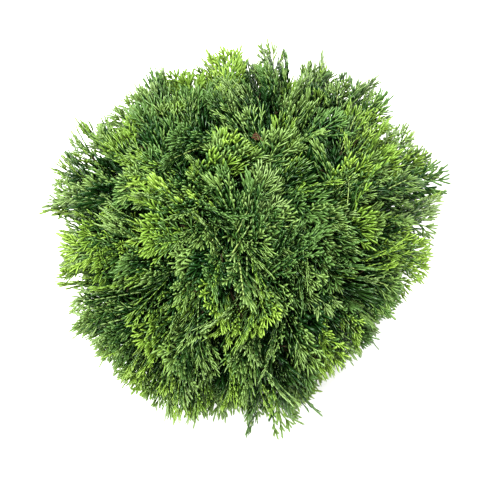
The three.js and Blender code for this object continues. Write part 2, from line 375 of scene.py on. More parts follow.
# %% Side axis
SPRAY = 0.056  # metres from root to tip
BRANCHLET_STEP = 0.0040
BRANCHLET_LEAN, LEAN_SPREAD = 28, 8  # degrees
BEND_FORWARD = 0.93  # how much of its heading a side axis keeps at each node
TIP_STARTS = 0.76  # branchlets past this share of the spray are young
LOWER_BAR, UPPER_BAR = 0.55, 0.5  # the two bars of a side axis, as shares of its length
UPPER_BAR_WIDTH = 0.9  # against the lower bar
FIRST_SIZE, SIZE_LOSS = 1.05, 0.3  # how large the first branchlet is, and how much smaller the last
LAST_STEP = 0.4  # of a step, from the last node to the branchlet that points straight on


def grow_side_axis(spray, at, heading, tilt, length, turn):
    steps = max(2, round(length / (BRANCHLET_STEP * spray["grow"])))
    step = length / steps
    add_bar(spray, at, heading, tilt, length * LOWER_BAR, HALF_WIDTH_OF_AXIS, BODY_PART)
    for k in range(1, steps):
        at = ahead(at, heading, tilt, step)
        heading *= BEND_FORWARD
        if k == steps // 2:
            half = HALF_WIDTH_OF_AXIS * UPPER_BAR_WIDTH
            add_bar(spray, at, heading, tilt, length * UPPER_BAR, half, TIP_PART)
        young = at[1] > SPRAY * TIP_STARTS or k >= steps - 1
        for side in ((turn,) if k < steps - 1 else (1, -1)):
            lean = math.radians(around(spray["draw"], BRANCHLET_LEAN, LEAN_SPREAD)) * side
            size = FIRST_SIZE - SIZE_LOSS * k / steps
            add_branchlet(spray, at, heading + lean, tilt, size, TIP_PART if young else BODY_PART)
        turn = -turn
    at = ahead(at, heading, tilt, step * LAST_STEP)
    add_branchlet(spray, at, heading, tilt, 1, TIP_PART)


print("a spray is", round(SPRAY * 1000), "mm long")
print("a side axis has a branchlet every", BRANCHLET_STEP * 1000, "mm")

# %% [markdown]
# ## A whole spray
# Side axes leave the main axis by turns to the left and to the right. They get longer up to about
# the middle of the spray and shorter again towards its tip, and the later ones lean out less, so
# the spray opens like a fan and ends in a rounded front. Near the tip there is no room for a side
# axis, and single branchlets take over.

# %% Grow a spray
AXIS_STEP = 0.0050
AXIS_SHARE = 0.93  # how much of the spray's length has nodes
AXIS_SLANT, AXIS_WANDER = 0.05, 0.06  # radians, at the root and then at each node
AXIS_WIDTH, AXIS_TAPER = 1.3, 0.4  # against a side axis: at the root, and what is lost to the tip
BAR_OVERLAP = 1.08  # a bar is a little longer than its step, so no gap shows at a bend
FRONT = 1.05  # a side axis is at most this long, against what is left of the spray
FIRST_SIDE, SIDE_GAIN = 0.3, 0.5  # the longest first side axis, and how much more the last may have
SIDE_LENGTH, SIDE_SPREAD = 0.95, 0.15  # the share of that length that a side axis reaches
SIDE_LEAN, SIDE_LEAN_LOSS, SIDE_LEAN_SPREAD = 43, 6, 5  # degrees
SHORTEST_SIDE = 1.1  # against a branchlet's length
BARE_FOOT = 0.08  # the share of the axis at its root that carries nothing
SINGLE_FROM = 0.5  # single branchlets grow past this share of the axis
TIP_FAN, TIP_SIZE = 0.5, 1.1  # radians between the three branchlets at the tip, and their size


def spray_rows(seed, grow):
    """The rows of one spray. With more growth there are fewer branchlets and they are larger."""
    draw = seeded(seed)
    spray = {"draw": draw, "grow": grow, "rows": []}
    at = (0.0, 0.0, 0.0)
    heading = around(draw, 0, AXIS_SLANT)
    turn = 1 if next(draw) > 0.5 else -1
    steps = round(SPRAY * AXIS_SHARE / AXIS_STEP)
    for k in range(steps):
        share = k / steps
        half = HALF_WIDTH_OF_AXIS * (AXIS_WIDTH - AXIS_TAPER * share)
        add_bar(spray, at, heading, 0, AXIS_STEP * BAR_OVERLAP, half, MAIN_AXIS_PART)
        at = ahead(at, heading, 0, AXIS_STEP)
        heading += around(draw, 0, AXIS_WANDER)
        longest = min((SPRAY - at[1]) * FRONT, SPRAY * (FIRST_SIDE + SIDE_GAIN * share))
        length = longest * around(draw, SIDE_LENGTH, SIDE_SPREAD)
        lean = around(draw, SIDE_LEAN - SIDE_LEAN_LOSS * share, SIDE_LEAN_SPREAD)
        lean = math.radians(lean) * turn
        if length > BRANCHLET_LENGTH * SHORTEST_SIDE and share > BARE_FOOT:
            grow_side_axis(spray, at, heading + lean, around(draw, 0, WAVER), length, turn)
        elif share > SINGLE_FROM:
            add_branchlet(spray, at, heading + lean, 0, 1, TIP_PART)
        turn = -turn
    for side in (-1, 0, 1):
        add_branchlet(spray, at, heading + TIP_FAN * side, 0, TIP_SIZE, TIP_PART)
    return np.array(spray["rows"])


print("parts of one spray:", len(spray_rows(500, 1)))

# %% [markdown]
# ## Copies and joining
# Branchlets become a spray, sprays become a mass, and a few masses become one mesh. Thousands of
# separate objects would be slow to handle, and instances and particles are lost when a scene is
# exported. So every copy is worked out as arrays: each corner goes from the copy's root by its own
# amount along each of the copy's directions. Joining means putting the corners in one list and
# counting on in the faces, so that each face still finds its own corners.

# %% Copies and joining
def laid_out(roots, *moves):
    """The corners of many copies. A move is a direction for each copy and an amount for each of its
    corners."""
    corners = roots[:, None]
    for ways, amounts in moves:
        corners = corners + ways[:, None] * amounts[..., None]
    return corners.reshape(-1, 3)


def counted_on(triangles, copies, corners_of_one):
    """The triangles of many copies. Each counts on from the corners of the last."""
    starts = np.arange(copies) * corners_of_one
    return (triangles + starts[:, None, None]).reshape(-1, 3)


def joined(parts):
    """Several meshes as one. Each has its corners, its faces and a number for each face."""
    corners, faces, numbers, first = [], [], [], 0
    for some_corners, some_faces, some_numbers in parts:
        corners.append(some_corners)
        faces.append(some_faces + first)
        numbers.append(some_numbers)
        first += len(some_corners)
    return np.concatenate(corners), np.concatenate(faces), np.concatenate(numbers)


two_bars = joined([(*AXIS, np.zeros(len(AXIS[1]))), (*BRANCHLET, np.ones(len(BRANCHLET[1])))])
print("a bar and a branchlet joined:", len(two_bars[1]), "triangles")

# %% [markdown]
# ## From rows to a mesh
# Each row places one copy of the bar or of the branchlet, and the copies of a kind are worked out
# together. A dozen outer sprays are grown with different random numbers, and each is used many
# times, mirrored, resized and bent, so that no two look alike. Sprays deeper in the crown show
# less, so fewer and coarser ones do.

# %% Sprays
# The number of different sprays, the first seed, and the growth of each layer's sprays.
KINDS_OF_SPRAY = {"outer": (12, 500, 1), "inner": (6, 600, 1.3), "deep": (4, 700, 1.5)}


def spray_arrays(rows):
    """The corners and faces of a whole spray, and the part that each face belongs to."""
    bars = []
    for kind, (shape, triangles) in ((AXIS_KIND, AXIS), (BRANCHLET_KIND, BRANCHLET)):
        some = rows[rows[:, KIND_COLUMN] == kind]
        heading, tilt, length, half = some[:, PLACE_COLUMNS:KIND_COLUMN].T
        flat = np.cos(tilt)
        along = np.stack((np.sin(heading) * flat, np.cos(heading) * flat, np.sin(tilt)), axis=1)
        side = np.stack((np.cos(heading), -np.sin(heading), np.zeros(len(some))), axis=1)
        x, y, z = shape.T
        corners = laid_out(
            some[:, :PLACE_COLUMNS],
            (along, y * length[:, None]),
            (side, x * half[:, None]),
            (np.cross(side, along), z * half[:, None]),
        )
        faces = counted_on(triangles, len(some), len(shape))
        bars.append((corners, faces, np.repeat(some[:, PART_COLUMN].astype(int), len(triangles))))
    return joined(bars)


sprays = {
    layer: [spray_arrays(spray_rows(first_seed + i, grow)) for i in range(count)]
    for layer, (count, first_seed, grow) in KINDS_OF_SPRAY.items()
}
for layer, some in sprays.items():
    size = np.ptp(some[0][0], axis=0) * 1000
    print(layer, "spray:", len(some[0][1]), "triangles,", size.round(), "mm")

# %% [markdown]
# ## How the tufts lie
# The sprays on one twig make a tuft. On top of the globe the tufts part from a hollow and lie over
# outwards, and lower down they lift towards the light, so most lie nearer to the level than the
# twig that carries them. Turning whole tufts, not single sprays, keeps the sprays of a tuft side by
# side.

# %% Tufts
LIE_OVER = 1.2
LIE_OVER_SHARES = (0.7, 1.3)  # a tuft lies over by a share of that between these two
SWIRL = 30  # degrees by which a tuft lies to one side
ROLL, TUFT_ROLL = 28, 32  # degrees, the roll of the solid model's twigs and what a tuft adds to it
TUFT_DIP = 0.05  # how much shorter the sprays of a weak twig stay, as a share of the reach
PARTING = np.array((-0.016, -0.030, 0))  # the hollow that the tufts on top lie away from


def lay_tufts(mass):
    draw = np.random.RandomState(mass["seed"])
    ways = mass["twig_ways"]
    ends = ways * mass["twig_far"][:, None]
    level = unit((ends - PARTING) * (1, 1, 0))
    upright = np.repeat(Z_AXIS[None], TWIGS, axis=0)
    level = turned(level, upright, np.radians(draw.normal(0, SWIRL, TWIGS)))
    over = LIE_OVER * draw.uniform(*LIE_OVER_SHARES, TWIGS) * np.abs(ways[:, 2])
    mass["ends"] = MIDDLE + ends
    mass["axes"] = unit(ways + level * over[:, None])
    mass["rolls"] = np.radians(mass["twig_roll"] * ROLL + draw.normal(0, TUFT_ROLL, TWIGS))
    mass["short"] = TUFT_DIP * draw.uniform(0, 1, TWIGS)
    mass["youths"] = draw.uniform(0, 1, TWIGS)


for mass in masses:
    lay_tufts(mass)
widest_roll = max(np.degrees(np.abs(mass["rolls"])).max() for mass in masses)
print("tufts are rolled by up to", round(widest_roll), "degrees")

# %% [markdown]
# ## Where the crown is lower
# The face of each mass swells a little in its middle and sinks towards its borders, and so does
# each tuft, which gives the crown its soft lobes and the dark creases between them. Here and there
# a shoot failed and left a dark hollow, and a few on the outline stayed shorter or grew further
# than their neighbours. A mesh of the surface isn't needed for that: a number for each spray says
# how far it is sunk, as a share of the reach.

# %% Lobes, creases and hollows
SINK = 0.08  # at the border of a mass
TUFT_SINK, TUFT_RADIUS = 0.10, 0.2  # between two tufts, and radians from a tuft's middle
TIP_DIP, DIP_RARITY = 0.07, 1.5  # at most, for a spray that stayed short, and how few sink that far
FLANK_SINK, TOP_SINK = 0.55, 0.6  # the share of all this on the flanks, and what the top adds to it
HOLLOWS, HOLLOW_SEED = 26, 11
HOLLOW_JITTER = 0.12  # radians, how far a hollow is moved from its even place
HOLLOW_DEPTH = 0.17
HOLLOW_RADIUS = 0.10  # radians, seen from the globe's middle


def hollow_ways():
    """Directions of the hollows, spread by the golden angle and then moved a little."""
    draw = np.random.RandomState(HOLLOW_SEED)
    z = 1 - 2 * (np.arange(HOLLOWS) + 0.5) / HOLLOWS
    turns = np.arange(HOLLOWS) * GOLDEN_ANGLE
    level = np.sqrt(1 - z**2)
    ways = np.stack((np.cos(turns) * level, np.sin(turns) * level, z), axis=1)
    return unit(ways + draw.normal(0, HOLLOW_JITTER, ways.shape))


hollows = hollow_ways()
# Shoots on the outline: azimuth and elevation in degrees, and how much shorter they stayed, as a
# share of the reach. Below 0 they grew further.
STRAYS = ((0, -2, 0.10), (288, -21, 0.06), (174, 2, 0.06), (158, 8, -0.07), (67, 20, -0.04))
STRAY_RADIUS = 0.14  # radians


def sunk_shares(mass, draw, ways, shares, twig, nearness):
    """How far each spray is sunk, as a share of the reach."""
    apart = np.arccos(np.clip(nearness.max(axis=1), -1, 1))
    sunk = SINK * shares**2 + TUFT_SINK * np.clip(apart / TUFT_RADIUS, 0, 1) ** 2
    sunk += mass["short"][twig] + TIP_DIP * draw.uniform(0, 1, len(ways)) ** DIP_RARITY
    sunk *= FLANK_SINK + TOP_SINK * np.clip(ways[:, 2], 0, 1)
    for azimuth, elevation, shorter in STRAYS:
        away = np.arccos(np.clip(ways @ direction(azimuth, elevation), -1, 1))
        sunk += shorter * np.exp(-((away / STRAY_RADIUS) ** 2))
    away = np.arccos(np.clip((ways @ hollows.T).max(axis=1), -1, 1))
    return sunk + HOLLOW_DEPTH * np.exp(-((away / HOLLOW_RADIUS) ** 2))


print(HOLLOWS, "hollows, the highest at", hollows[:, 2].max().round(2))

# %% [markdown]
# ## Where the sprays sit
# The tips of the sprays are spread evenly over the outer face of each mass, and each spray belongs
# to the nearest twig. It lies along its tuft's own direction with its edge up, and its root moves
# over towards the twig, as a shoot that grew out of it would. Wrapped sprays lie flat around the
# globe.

# %% Places of the sprays
TO_BORDER = 0.99  # how near the outermost tips come to the border of their mass
FIRST_TURN = 1  # radians between the first spray and the first twig, about the mass's middle
TIP_JITTER = 0.02  # radians
TIP_PROUD = 0.01  # how far the tips pass the end of their twig, as a share of the reach
SPRAY_SIZES, SPRAY_WIDTHS = (0.85, 1.2), (0.85, 1.1)  # the smallest and the largest
TUCK, WRAPPED_TUCK = 0.55, 0.2  # how far a spray's root moves over to its twig
OUT_OF_WRAP = 0.45  # how far a wrapped spray leans outwards
SPRAY_TURN = 0.085  # radians by which a spray leaves its tuft's direction
SPRAY_ROLL = 15  # degrees
BEND, MOST_BEND = 3.6, 4.5  # how far a spray bends out of its plane, per metre of it squared
YOUTH_SPREAD = 0.18  # how much the sprays of one tuft differ in youth
# How much younger the growth gets for each unit of height down a ball of radius 1, and from where.
# The greyer, older greens that this leaves on top also paint the sheen of light seen there.
YOUNGER_BELOW_SHEEN_ABOVE, YOUTH_AND_SHEEN_FROM = 0.25, 0.7


def spray_tips(mass, draw, count, depth):
    """The direction of each spray's tip, its twig, and the tip itself."""
    steps = np.arange(count)
    shares = np.sqrt((steps + 0.5) / count)
    turns = mass["first_turn"] + FIRST_TURN + steps * GOLDEN_ANGLE
    ways = ways_in_mass(mass, turns, TO_BORDER * shares)
    ways = unit(ways + draw.normal(0, TIP_JITTER, ways.shape))
    nearness = ways @ mass["twig_ways"].T
    twig = nearness.argmax(axis=1)
    sunk = sunk_shares(mass, draw, ways, shares, twig, nearness)
    out = reach(ways) * depth * (mass["twig_vigour"][twig] + TIP_PROUD - sunk)
    return ways, twig, MIDDLE + ways * out[:, None]


def spray_places(mass, seed, count, layer):
    """Root, three directions, size, bend and colour numbers of each spray in a mass."""
    draw = np.random.RandomState(seed)
    ways, twig, tips = spray_tips(mass, draw, count, layer["depth"])
    length = SPRAY * layer["size"] * draw.uniform(*SPRAY_SIZES, count)
    if layer["wrapped"]:
        around_globe = unit(np.cross(ways, draw.normal(0, 1, ways.shape)))
        axis = unit(OUT_OF_WRAP * ways + around_globe)
        page = ways
    else:
        axis = mass["axes"][twig]
        page = turned(level_side(axis), axis, mass["rolls"][twig])
    tuck = WRAPPED_TUCK if layer["wrapped"] else TUCK
    roots = tips - axis * length[:, None] + tuck * across(mass["ends"][twig] - tips, axis)
    along = unit(tips - roots + draw.normal(0, SPRAY_TURN, tips.shape) * length[:, None])
    page = turned(unit(across(page, along)), along, np.radians(draw.normal(0, SPRAY_ROLL, count)))
    mirrored = np.where(draw.uniform(size=count) < 0.5, -1, 1)
    bend = np.clip(draw.normal(0, BEND, count), -MOST_BEND, MOST_BEND)
    wide = draw.uniform(*SPRAY_WIDTHS, count)
    pick = draw.uniform(0, 1, (count, 2))
    youth = mass["youths"][twig] + draw.normal(0, YOUTH_SPREAD, count)
    return {
        "twig": twig,
        "root": roots,
        "side": np.cross(along, page) * mirrored[:, None],
        "along": along,
        "page": page,
        "size": length / SPRAY,
        "bend": bend,
        "wide": wide,
        "pick": pick,
        # Greyer greens higher up: partly older growth, partly painted sheen.
        "youth": youth + YOUNGER_BELOW_SHEEN_ABOVE * (YOUTH_AND_SHEEN_FROM - ways[:, 2]),
    }


print("a spray's tip bends aside by up to", round(MOST_BEND * SPRAY**2 * 1000), "mm")

# %% [markdown]
# ## Three layers
# The crown is dark inside but not see-through. Under the outer sprays lies a layer of older ones,
# and deeper still, coarse sprays lie wrapped around the globe, so that nothing shines through it.
# Both wear the darkest greens, partly for their age and partly as painted shade.
# Filling the whole globe evenly would take many more triangles for sprays that nobody sees.

# %% Place the sprays
SPRAYS_PER_STERADIAN = 74
BORDER_POINTS = 36  # for measuring a mass
LAYERS = {
    # Sprays against the outer layer, how far out and how large they are, and if they lie wrapped.
    "outer": {"share": 1, "depth": 1.0, "size": 1.0, "wrapped": False},
    "inner": {"share": 0.4, "depth": 0.86, "size": 1.15, "wrapped": False},
    "deep": {"share": 0.36, "depth": 0.60, "size": 1.0, "wrapped": True},
}


def solid_angle(mass):
    """How much of the globe's surface a mass owns, in steradians."""
    turns = np.arange(BORDER_POINTS) / BORDER_POINTS * 2 * math.pi
    at_border = ways_in_mass(mass, turns, np.ones(BORDER_POINTS))
    return float(np.mean(2 * math.pi * (1 - at_border @ mass["way"])))


for mass in masses:
    for number, (name, layer) in enumerate(LAYERS.items()):
        count = round(SPRAYS_PER_STERADIAN * solid_angle(mass) * layer["share"])
        mass[name] = spray_places(mass, mass["seed"] * len(LAYERS) + number, count, layer)
for name in LAYERS:
    print(sum(len(mass[name]["twig"]) for mass in masses), name, "sprays")

# %% [markdown]
# ## A dried shoot
# One small shoot near the top has died, dried and curled up. It could be a piece of its own, but it
# is a spray like all the others, only smaller. So it joins the inner layer of the top mass and gets
# its stalk and its place in the mesh with the rest. A number past all the random ones marks it as
# dry.

# %% Dried shoot
DRIED_WAY = direction(59, 81.5)
DRIED_OUT = 0.95  # as a share of the reach
DRIED_SIZE = 0.17  # against a whole spray
DRIED_PICK = 1.0


def add_dried_shoot(mass):
    """One more spray for the inner layer of a mass. It lies flat and faces outwards."""
    along = level_side(DRIED_WAY[None])[0]
    shoot = {
        "twig": int(np.argmax(mass["twig_ways"] @ DRIED_WAY)),
        "root": MIDDLE + DRIED_WAY * DRIED_OUT * reach(DRIED_WAY) - along * SPRAY * DRIED_SIZE / 2,
        "side": np.cross(along, DRIED_WAY),
        "along": along,
        "page": DRIED_WAY,
        "size": DRIED_SIZE,
        "bend": 0,
        "wide": 1,
        "pick": (0.5, DRIED_PICK),  # the first number chooses the kind of spray
        "youth": 0,
    }
    for name, value in shoot.items():
        mass["inner"][name] = np.concatenate((mass["inner"][name], [value]))


add_dried_shoot(masses[0])
print("the dried shoot is", round(DRIED_SIZE * SPRAY * 1000), "mm long")

# %% [markdown]
# ## Colour and nodes
# Colours are written as the sRGB hex values that a colour picker shows. Shaders work with linear
# light, so one function turns the one into the other. A material starts as the standard shader with
# plain values on its own sockets, and nodes are added only where a surface has a pattern.

# %% Colour and node helpers
def linear(hex_value):
    """A linear RGBA colour from an sRGB hex value such as 0x86b53c, by that standard's curve."""
    parts = [((hex_value >> shift) & 255) / 255 for shift in (16, 8, 0)]
    return [c / 12.92 if c <= 0.04045 else ((c + 0.055) / 1.055) ** 2.4 for c in parts] + [1.0]


def add_node(material, kind, settings=(), values=(), links=()):
    """Adds a node, sets its properties and socket values, and links other nodes' sockets to it."""
    node = material.node_tree.nodes.new(kind)
    for name, value in dict(settings).items():
        setattr(node, name, value)
    for socket, value in dict(values).items():
        node.inputs[socket].default_value = value
    for socket, source in dict(links).items():
        material.node_tree.links.new(source, node.inputs[socket])
    return node


def plain_material(name, colour, roughness, specular=0.5):
    material = bpy.data.materials.new(name)
    material.use_nodes = True
    shader = material.node_tree.nodes["Principled BSDF"]
    shader.inputs["Base Color"].default_value = linear(colour)
    shader.inputs["Roughness"].default_value = roughness
    shader.inputs["Specular IOR Level"].default_value = specular
    return material


print("mid grey in linear light:", round(linear(0x808080)[0], 3))

# %% [markdown]
# ## Scale leaves
# A scale leaf is covered by a thin film of its own wax. The film's IOR is close to 1.5, which is
# the shader's default, and it is smooth but not polished, so the eye sees a satin glint on every
# scale that faces the light. New growth is a yellow green, last year's is a full green, and the
# oldest leaves, deep inside, are a dull blue green. The darker greens also paint the shade that
# falls deep in the crown and at the base of each spray. The differences lie between one spray
# and the next, so plain colours dealt out by spray show them, and they keep their place when the
# plant is exported.

# %% Leaf materials
LEAF_WAX_ROUGHNESS = 0.34
LEAF_COLOURS = {
    # The old, dark and deep greens are partly painted shade.
    "leaf_old_and_shaded_blue_green": 0x1a3a1c,
    "leaf_dark_green": 0x2a4a23,
    "leaf_deep_green": 0x415f30,
    "leaf_full_green": 0x5f7c46,
    "leaf_fresh_green": 0x779053,
    "leaf_young_green": 0x789443,
    "leaf_lime": 0x87a24b,
    "leaf_sage": 0x829961,
    "leaf_axis_green": 0x8fa163,
    "leaf_dry": 0x5c3c2a,
}
OLD_AND_SHADED, DARK, DEEP, FULL, FRESH, YOUNG, LIME, SAGE, AXIS_GREEN, DRY = range(len(LEAF_COLOURS))
leaf_materials = [
    plain_material(name, colour, LEAF_WAX_ROUGHNESS) for name, colour in LEAF_COLOURS.items()
]
print(len(leaf_materials), "leaf materials")

# %% [markdown]
# ## Dealing out the greens
# A tuft is young or old as a whole, and its sprays differ a little, so a yellow green tuft can sit
# beside a dark one. The outermost branchlets are lighter than the body of a spray, because they
# grew last, and the body's darker green also paints the shade that falls under the tips. Inner
# and deep sprays get the darkest greens, partly for their age and partly as painted shade. A few
# sprays have a greyer bloom, and the dried shoot is brown all over.

# %% Greens of the sprays
# The dark and deep body greens are partly painted shade, for the shade deeper in each spray.
BODY_STEPS = (0.25, 0.7)  # below these youths a spray's body is dark or deep green
TIP_STEPS = (0.25, 0.6, 0.85)  # below these its tips are full, fresh or young green
SAGE_BELOW = 0.08  # a pick below this gives the tips a grey bloom
PALE_AXIS_ABOVE = 0.8  # a pick above this gives a pale main axis
# Those oldest greens are partly painted shade.
OLD_AND_SHADED_BELOW = 0.6  # a pick below this gives an inner or deep spray the oldest greens


def below(value, steps):
    """Which of several steps each value is below, from the lowest step up."""
    return [value < step for step in steps]


def outer_greens(places):
    """A green for the body of each spray, one for its tips, and one for its main axis."""
    youth, pick = places["youth"], places["pick"][:, 1]
    body = np.select(below(youth, BODY_STEPS), [DARK, DEEP], FULL)
    tip = np.select(below(youth, TIP_STEPS), [FULL, FRESH, YOUNG], LIME)
    tip = np.where(pick < SAGE_BELOW, SAGE, tip)
    return np.stack((body, tip, np.where(pick > PALE_AXIS_ABOVE, AXIS_GREEN, tip)))


# Inner and deep sprays wear the darkest greens, partly old foliage and partly painted shade.
def inner_greens(places):
    picks = below(places["pick"][:, 1], (OLD_AND_SHADED_BELOW, DRIED_PICK))
    body = np.select(picks, [OLD_AND_SHADED, DARK], DRY)
    tip = np.select(picks, [DARK, DEEP], DRY)
    return np.stack((body, tip, body))


youths = np.concatenate([mass["outer"]["youth"] for mass in masses])
share_young = np.mean(youths > TIP_STEPS[1])
print("share of outer sprays with young tips:", share_young.round(2))

# %% [markdown]
# ## Placing copies of a spray
# Each place takes one of the grown sprays and lays it along its own three directions, like a
# drawing moved onto a new sheet. A mirrored copy would be inside out, so its triangles are listed
# the other way round. The greens are dealt out by spray: one for its body, one for its tips and one
# for its axis.

# %% Copies of the sprays
SIDE_BEND = 0.6  # how much a spray bends across, against its bend along


def placed_sprays(places, kinds, pick_greens):
    """Corners, faces and colour numbers of all the sprays in one layer of a mass."""
    copies = []
    which = (places["pick"][:, 0] * len(kinds)).astype(int)
    greens = pick_greens(places)
    for number, (shape, triangles, parts) in enumerate(kinds):
        here = np.flatnonzero(which == number)
        if not len(here):
            continue
        side, along, page = (places[name][here] for name in ("side", "along", "page"))
        size = places["size"][here, None]
        x = shape[:, 0] * size * places["wide"][here, None]
        y = shape[:, 1] * size
        z = shape[:, 2] * size + places["bend"][here, None] * (y**2 + SIDE_BEND * x**2)
        corners = laid_out(places["root"][here], (side, x), (along, y), (page, z))
        mirrored = np.sum(np.cross(side, along) * page, axis=1) < 0
        listed = np.where(mirrored[:, None, None], triangles[None, :, ::-1], triangles[None])
        faces = counted_on(listed, len(here), len(shape))
        copies.append((corners, faces, greens[:, here][parts].T.reshape(-1)))
    return joined(copies)


top_faces = placed_sprays(masses[0]["outer"], sprays["outer"], outer_greens)[1]
print("outer sprays of the top mass:", len(top_faces), "triangles")

# %% [markdown]
# ## From arrays to an object
# Python is slow at making corners and faces one by one. Blender also takes them whole, as flat
# arrays: the places of the corners, the corners of each triangle and the material number of each
# triangle. That fills a mesh of many thousand leaves in a moment.

# %% Mesh from arrays
def mesh_piece(name, corners, faces, colours, materials):
    """A mesh object from arrays of corners, triangles and material numbers."""
    mesh = bpy.data.meshes.new(name)
    mesh.vertices.add(len(corners))
    mesh.vertices.foreach_set("co", corners.astype(np.float32).ravel())
    mesh.loops.add(faces.size)
    mesh.loops.foreach_set("vertex_index", faces.astype(np.int32).ravel())
    mesh.polygons.add(len(faces))
    mesh.polygons.foreach_set("loop_start", np.arange(0, faces.size, 3, dtype=np.int32))
    for material in materials:
        mesh.materials.append(material)
    mesh.polygons.foreach_set("material_index", colours.astype(np.int32))
    mesh.update(calc_edges=True)
    print(name, len(faces), "triangles")
    return add_object(name, mesh)


print("meshes before the foliage:", len(bpy.data.meshes))

# %% [markdown]
# ## The foliage pieces
# Seven pieces hold all the sprays, a few neighbouring masses each, so that no mesh grows too large
# to handle. Each stands for the solid masses that it fills, and hides them.

# %% Foliage pieces
PIECES = {
    "top_and_upper_a": ("top", "upper_1", "upper_2", "upper_3"),
    "upper_b": ("upper_4", "upper_5", "upper_6"),
    "middle_a": ("middle_1", "middle_2", "middle_3"),
    "middle_b": ("middle_4", "middle_5", "middle_6"),
    "middle_c": ("middle_7", "middle_8", "middle_9"),
    "lower_a": ("lower_1", "lower_2", "lower_3", "lower_4"),
    "lower_b": ("lower_5", "lower_6", "lower_7", "lower_8"),
}
by_name = {mass["name"]: mass for mass in masses}
for piece_name, names in PIECES.items():
    parts = []
    for name in names:
        for layer in LAYERS:
            pick_greens = outer_greens if layer == "outer" else inner_greens
            parts.append(placed_sprays(by_name[name][layer], sprays[layer], pick_greens))
    piece = mesh_piece("sprays_" + piece_name, *joined(parts), leaf_materials)
    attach(piece, "root")
    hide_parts(*["foliage_" + name for name in names])

# %% [markdown]
# ## Fibrous bark
# The bark is thin cork that splits into long, flat fibres. A fibre's weathered face is a pale grey
# brown and the fresh cork in the splits is red brown. It is dull all over, because cork holds no
# wax. The pattern has to follow each limb, so the shader reads a place on the limb that is stored
# with the mesh, across the limb and along it, and the noise is drawn out along the limb as the
# fibres are.

# %% Noise of the fibres
FIBRE = 0.0016  # metres between two ridges of the bark
FIBRE_LENGTH = 7  # how many times longer than wide a fibre is
CORK_ROUGHNESS, CORK_SPECULAR = 0.9, 0.3

bark_material = plain_material("fibrous_bark", 0x6b4f3e, CORK_ROUGHNESS, CORK_SPECULAR)
grain_node = add_node(bark_material, "ShaderNodeAttribute", {"attribute_name": "grain"})
fibre_place = add_node(
    bark_material,
    "ShaderNodeMapping",
    values={"Scale": (1 / FIBRE, 1 / FIBRE, 1 / FIBRE / FIBRE_LENGTH)},
    links={"Vector": grain_node.outputs["Vector"]},
)
fibre_noise = add_node(
    bark_material,
    "ShaderNodeTexNoise",
    values={"Scale": 1.0, "Detail": 4.0, "Roughness": 0.6},
    links={"Vector": fibre_place.outputs["Vector"]},
)
print("a fibre is", round(FIBRE * 1000, 1), "mm wide")

# %% [markdown]
# ## Colour and relief of the bark
# The eye sees pale grey ridges with dark red brown lines between them. A ramp turns the noise into
# those colours, and a bump from the same noise roughens the light on them, so a split is both dark
# and deep.

# %% Bark colours and bump
# The noise at each stop of the ramp, and the colour there.
BARK_STOPS = ((0.36, 0x3c2a20), (0.48, 0x634534), (0.58, 0x7a6150), (0.72, 0x8f7c6c))
BARK_BUMP = 0.0004  # metres

bark_ramp = add_node(
    bark_material, "ShaderNodeValToRGB", links={"Fac": fibre_noise.outputs["Fac"]}
)
while len(bark_ramp.color_ramp.elements) < len(BARK_STOPS):
    bark_ramp.color_ramp.elements.new(0.5)  # the next lines give it its place
for element, (place, colour) in zip(bark_ramp.color_ramp.elements, BARK_STOPS):
    element.position = place
    element.color = linear(colour)
bark_bump = add_node(
    bark_material,
    "ShaderNodeBump",
    values={"Strength": 0.6, "Distance": BARK_BUMP},
    links={"Height": fibre_noise.outputs["Fac"]},
)
bark_shader = bark_material.node_tree.nodes["Principled BSDF"]
bark_material.node_tree.links.new(bark_ramp.outputs["Color"], bark_shader.inputs["Base Color"])
bark_material.node_tree.links.new(bark_bump.outputs["Normal"], bark_shader.inputs["Normal"])
print(bark_material.name, "has", len(bark_material.node_tree.nodes), "nodes")

# %% [markdown]
# ## The course of the limbs
# The stem is short, and the boughs leave it low down and sweep up and out into the crown. A curve
# of four points gives each its course. A bough starts on the stem's own curve, leaves it at a steep
# angle and ends pointing straight out of the globe, where the twigs of its mass take over.

# %% Curves of the stem and boughs
TRUNK_HEIGHT = 0.128
TRUNK_CURVE = np.array((
    (0, 0, 0),
    (0, 0, 0.33 * TRUNK_HEIGHT),
    (0.005, -0.0016, 0.66 * TRUNK_HEIGHT),
    (0.005, -0.004, TRUNK_HEIGHT),
))
BOUGH_FOOT = {"top": 0.126, "upper": 0.092, "middle": 0.062, "lower": 0.030}  # height on the stem
BOUGH_STEP = 0.007  # metres between the three heights that the boughs of a ring take in turn
BOUGH_TIP = 0.46  # as a share of the way out
BOUGH_RISE = 40  # degrees
BOUGH_SWEEP = 0.33  # how far a bough keeps its first and its last heading, against its length
BOUGH_STEPS = 24  # along a bough


def bezier(points, t):
    t = np.asarray(t, dtype=float)[:, None]
    a, b, c, d = points
    return a * (1 - t) ** 3 + 3 * b * t * (1 - t) ** 2 + 3 * c * t**2 * (1 - t) + d * t**3


def bough_line(mass):
    """Points along a bough, from the stem to the heart of its mass."""
    height = BOUGH_FOOT[mass["ring"]] + mass["number"] % 3 * BOUGH_STEP
    foot = bezier(TRUNK_CURVE, [min(height / TRUNK_HEIGHT, 1)])[0]
    way = mass["way"]
    tip = MIDDLE + way * BOUGH_TIP * reach(way)
    sweep = BOUGH_SWEEP * np.linalg.norm(tip - foot)
    azimuth = math.degrees(math.atan2(way[1], way[0]))
    leave = way if mass["ring"] == "top" else direction(azimuth, BOUGH_RISE)
    t = np.arange(BOUGH_STEPS + 1) / BOUGH_STEPS
    curve = bezier((foot, foot + leave * sweep, tip - way * sweep, tip), t)
    return np.concatenate((curve, [(tip + mass["heart"]) / 2, mass["heart"]]))


